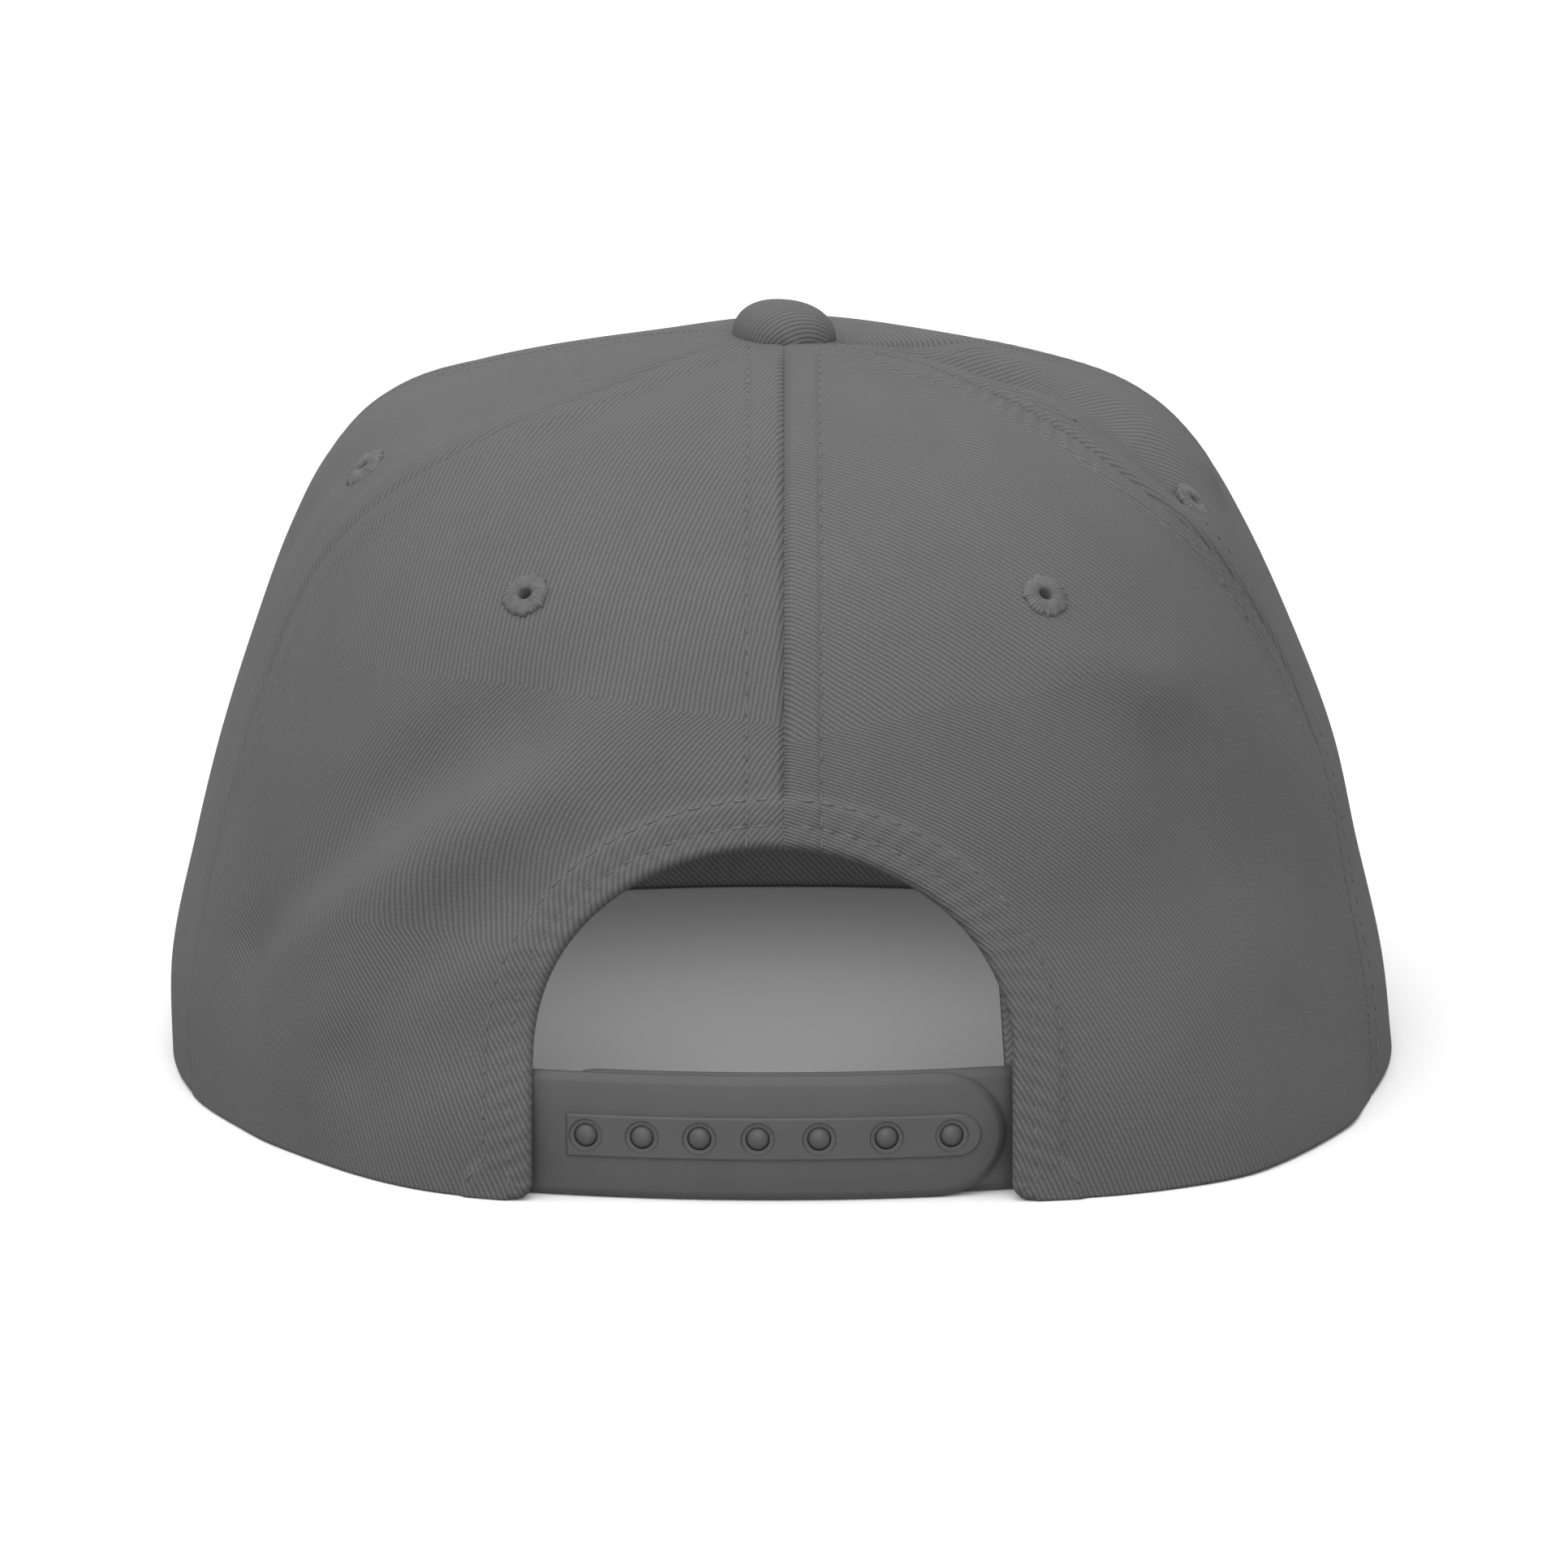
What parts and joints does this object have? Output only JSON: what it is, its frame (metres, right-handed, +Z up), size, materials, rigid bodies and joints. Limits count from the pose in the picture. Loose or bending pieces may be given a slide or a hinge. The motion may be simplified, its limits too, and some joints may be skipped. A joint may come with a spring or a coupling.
{
  "type": "flat bill cap",
  "caption": "Flat bill cap for the head, with a panelled crown, a covered button, sewn eyelets, a sweatband and an arched back closed by snap straps.",
  "frame": {"origin": "middle of the cap's outline on the surface that its rim and bill rest on", "axes": "+Z up, +Y towards the bill and the wearer's front, +X towards the wearer's right"},
  "size_m": [0.178, 0.2616, 0.1071],
  "materials": {
    "twill": "matt cotton twill",
    "thread": "matt sewing thread",
    "strap_plastic": "satin moulded plastic"
  },
  "bodies": {
    "root": {"front_panel": "twill", "side_panel_left": "twill", "side_panel_right": "twill", "back_panel_left": "twill", "back_panel_right": "twill", "eyelet_back_left": "thread", "eyelet_back_right": "thread", "eyelet_side_left": "thread", "eyelet_side_right": "thread", "button": "twill", "bill_upper": "twill", "bill_lower": "twill", "sweatband": "twill", "snap_strap_outer": "strap_plastic", "snap_strap_inner": "strap_plastic"}
  },
  "joints": []
}
